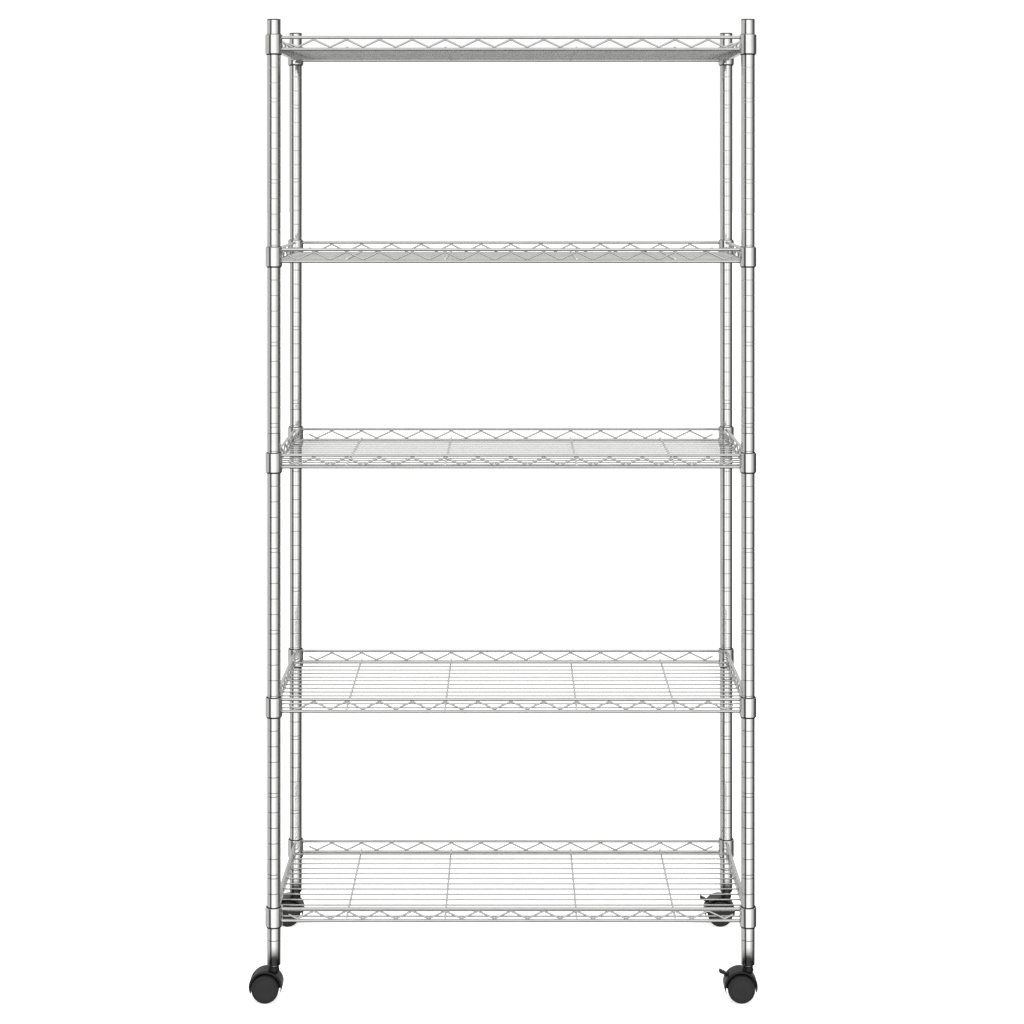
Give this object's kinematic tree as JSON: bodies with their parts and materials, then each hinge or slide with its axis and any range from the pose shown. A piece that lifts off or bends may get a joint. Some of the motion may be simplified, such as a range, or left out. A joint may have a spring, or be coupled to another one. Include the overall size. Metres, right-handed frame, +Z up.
{
  "type": "wire shelving rack",
  "caption": "Tall narrow chrome wire shelving rack with tray shelves on grooved posts, standing on black twin-wheel swivel casters.",
  "frame": {"origin": "on the floor, under the middle of the rack's outline", "axes": "+Z up, +X to the right along the shelves, +Y to the rear"},
  "size_m": [0.8036, 0.367, 1.5501],
  "materials": {
    "chrome": "bright chrome plate",
    "black_trim": "satin moulded",
    "zinc_steel": "zinc plated",
    "caster_hood": "semi-gloss moulded",
    "caster_wheel": "satin moulded"
  },
  "bodies": {
    "rack": {"shelf_1": "chrome", "shelf_2": "chrome", "shelf_3": "chrome", "shelf_4": "chrome", "shelf_5": "chrome", "front_left_lower_post": "chrome", "front_left_upper_post": "chrome", "front_left_post_cap": "black_trim", "front_left_sleeve_1": "black_trim", "front_left_sleeve_2": "black_trim", "front_left_sleeve_3": "black_trim", "front_left_sleeve_4": "black_trim", "front_left_sleeve_5": "black_trim", "front_left_caster_stem": "zinc_steel", "front_right_lower_post": "chrome", "front_right_upper_post": "chrome", "front_right_post_cap": "black_trim", "front_right_sleeve_1": "black_trim", "front_right_sleeve_2": "black_trim", "front_right_sleeve_3": "black_trim", "front_right_sleeve_4": "black_trim", "front_right_sleeve_5": "black_trim", "front_right_caster_stem": "zinc_steel", "rear_left_lower_post": "chrome", "rear_left_upper_post": "chrome", "rear_left_post_cap": "black_trim", "rear_left_sleeve_1": "black_trim", "rear_left_sleeve_2": "black_trim", "rear_left_sleeve_3": "black_trim", "rear_left_sleeve_4": "black_trim", "rear_left_sleeve_5": "black_trim", "rear_left_caster_stem": "zinc_steel", "rear_right_lower_post": "chrome", "rear_right_upper_post": "chrome", "rear_right_post_cap": "black_trim", "rear_right_sleeve_1": "black_trim", "rear_right_sleeve_2": "black_trim", "rear_right_sleeve_3": "black_trim", "rear_right_sleeve_4": "black_trim", "rear_right_sleeve_5": "black_trim", "rear_right_caster_stem": "zinc_steel"},
    "front_left_caster": {"front_left_caster_hood": "caster_hood", "front_left_caster_axle": "zinc_steel"},
    "front_left_caster_front_wheel": {"front_left_caster_front_wheel": "caster_wheel"},
    "front_left_caster_rear_wheel": {"front_left_caster_rear_wheel": "caster_wheel"},
    "front_right_caster": {"front_right_caster_hood": "caster_hood", "front_right_caster_axle": "zinc_steel"},
    "front_right_caster_front_wheel": {"front_right_caster_front_wheel": "caster_wheel"},
    "front_right_caster_rear_wheel": {"front_right_caster_rear_wheel": "caster_wheel"},
    "front_right_brake_lever": {"front_right_brake_lever": "caster_hood"},
    "rear_left_caster": {"rear_left_caster_hood": "caster_hood", "rear_left_caster_axle": "zinc_steel"},
    "rear_left_caster_front_wheel": {"rear_left_caster_front_wheel": "caster_wheel"},
    "rear_left_caster_rear_wheel": {"rear_left_caster_rear_wheel": "caster_wheel"},
    "rear_right_caster": {"rear_right_caster_hood": "caster_hood", "rear_right_caster_axle": "zinc_steel"},
    "rear_right_caster_front_wheel": {"rear_right_caster_front_wheel": "caster_wheel"},
    "rear_right_caster_rear_wheel": {"rear_right_caster_rear_wheel": "caster_wheel"},
    "rear_right_brake_lever": {"rear_right_brake_lever": "caster_hood"}
  },
  "joints": [
    {"name": "front_left_swivel", "type": "hinge", "parent": "rack", "child": "front_left_caster", "pos_m": [-0.363, -0.161, 0.053], "axis": [0, 0, 1], "continuous": true},
    {"name": "front_left_caster_front_wheel_roll", "type": "hinge", "parent": "front_left_caster", "child": "front_left_caster_front_wheel", "pos_m": [-0.375, -0.176, 0.0215], "axis": [0, 1, 0], "continuous": true},
    {"name": "front_left_caster_rear_wheel_roll", "type": "hinge", "parent": "front_left_caster", "child": "front_left_caster_rear_wheel", "pos_m": [-0.375, -0.146, 0.0215], "axis": [0, 1, 0], "continuous": true},
    {"name": "front_right_swivel", "type": "hinge", "parent": "rack", "child": "front_right_caster", "pos_m": [0.387, -0.161, 0.053], "axis": [0, 0, 1], "continuous": true},
    {"name": "front_right_caster_front_wheel_roll", "type": "hinge", "parent": "front_right_caster", "child": "front_right_caster_front_wheel", "pos_m": [0.375, -0.176, 0.0215], "axis": [0, 1, 0], "continuous": true},
    {"name": "front_right_caster_rear_wheel_roll", "type": "hinge", "parent": "front_right_caster", "child": "front_right_caster_rear_wheel", "pos_m": [0.375, -0.146, 0.0215], "axis": [0, 1, 0], "continuous": true},
    {"name": "front_right_brake", "type": "hinge", "parent": "front_right_caster", "child": "front_right_brake_lever", "pos_m": [0.36269, -0.161, 0.03517], "axis": [0, -1, 0], "range_deg": [0, 13]},
    {"name": "rear_left_swivel", "type": "hinge", "parent": "rack", "child": "rear_left_caster", "pos_m": [-0.363, 0.161, 0.053], "axis": [0, 0, 1], "continuous": true},
    {"name": "rear_left_caster_front_wheel_roll", "type": "hinge", "parent": "rear_left_caster", "child": "rear_left_caster_front_wheel", "pos_m": [-0.375, 0.146, 0.0215], "axis": [0, 1, 0], "continuous": true},
    {"name": "rear_left_caster_rear_wheel_roll", "type": "hinge", "parent": "rear_left_caster", "child": "rear_left_caster_rear_wheel", "pos_m": [-0.375, 0.176, 0.0215], "axis": [0, 1, 0], "continuous": true},
    {"name": "rear_right_swivel", "type": "hinge", "parent": "rack", "child": "rear_right_caster", "pos_m": [0.387, 0.161, 0.053], "axis": [0, 0, 1], "continuous": true},
    {"name": "rear_right_caster_front_wheel_roll", "type": "hinge", "parent": "rear_right_caster", "child": "rear_right_caster_front_wheel", "pos_m": [0.375, 0.146, 0.0215], "axis": [0, 1, 0], "continuous": true},
    {"name": "rear_right_caster_rear_wheel_roll", "type": "hinge", "parent": "rear_right_caster", "child": "rear_right_caster_rear_wheel", "pos_m": [0.375, 0.176, 0.0215], "axis": [0, 1, 0], "continuous": true},
    {"name": "rear_right_brake", "type": "hinge", "parent": "rear_right_caster", "child": "rear_right_brake_lever", "pos_m": [0.36269, 0.161, 0.03517], "axis": [0, -1, 0], "range_deg": [0, 13]}
  ]
}
